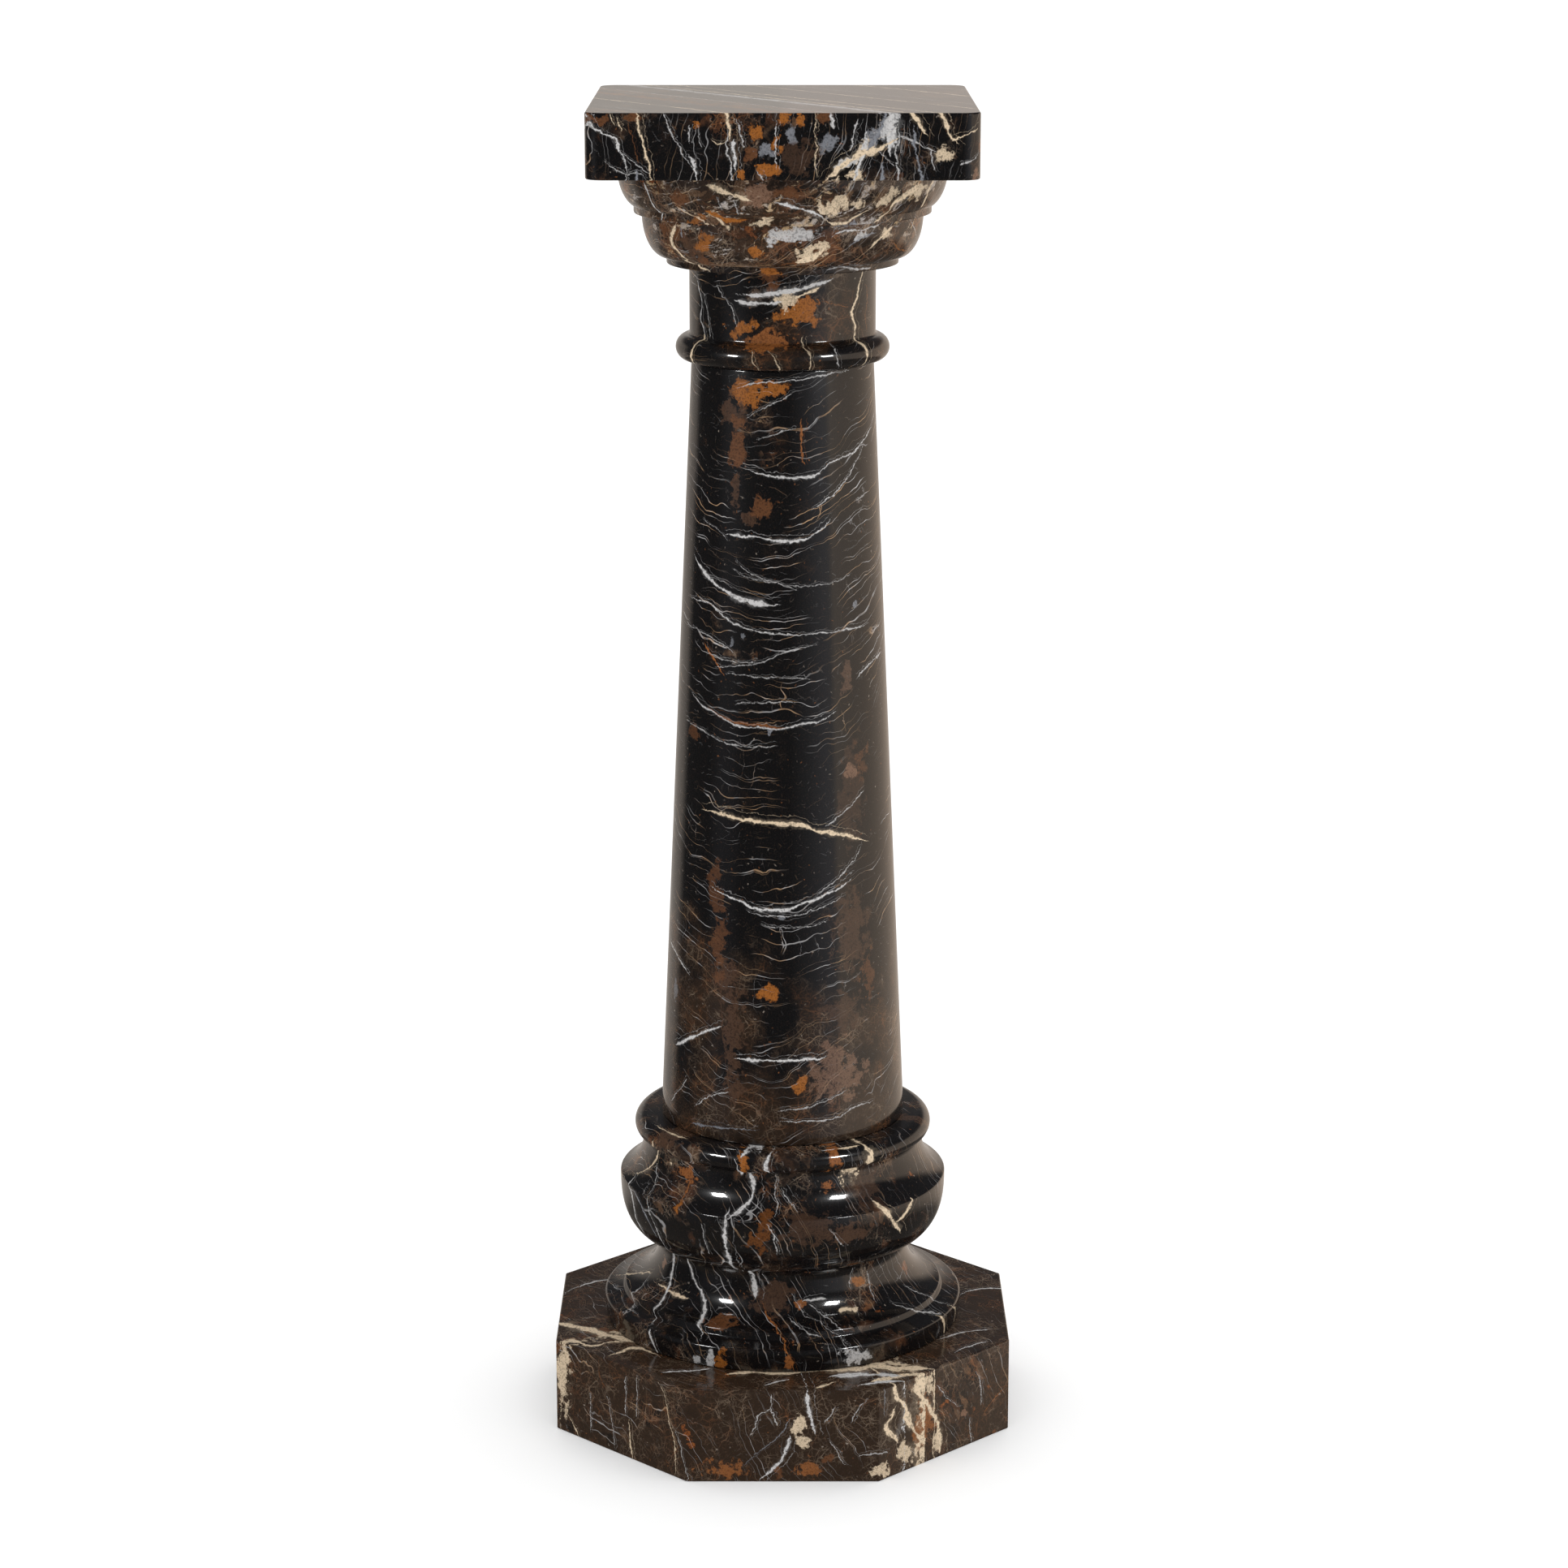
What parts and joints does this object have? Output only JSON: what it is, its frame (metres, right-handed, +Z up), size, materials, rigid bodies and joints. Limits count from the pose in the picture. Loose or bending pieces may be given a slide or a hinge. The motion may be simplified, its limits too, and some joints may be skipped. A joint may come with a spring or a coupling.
{
  "type": "marble pedestal",
  "caption": "Turned stone pedestal with a square top slab, moulded capital, tapered round shaft, moulded base and octagonal plinth, for standing a bust, vase or plant on.",
  "frame": {"origin": "centre of the plinth's underside, on the floor", "axes": "+Z up along the column's axis, -Y out of a flat side of the plinth and slab, towards the front, +X to the right seen from the front"},
  "size_m": [0.376, 0.376, 1.0912],
  "materials": {
    "top_slab_marble": "polished black marble with white and gold veins",
    "capital_marble": "polished dark brown marble with rust patches and cream veins",
    "shaft_marble": "polished dark brown marble with white veins",
    "base_marble": "polished black marble with white veins and amber patches",
    "plinth_marble": "polished dark brown marble with tan veins"
  },
  "bodies": {
    "root": {"top_slab": "top_slab_marble", "capital": "capital_marble", "shaft": "shaft_marble", "base": "base_marble", "plinth": "plinth_marble"}
  },
  "joints": []
}
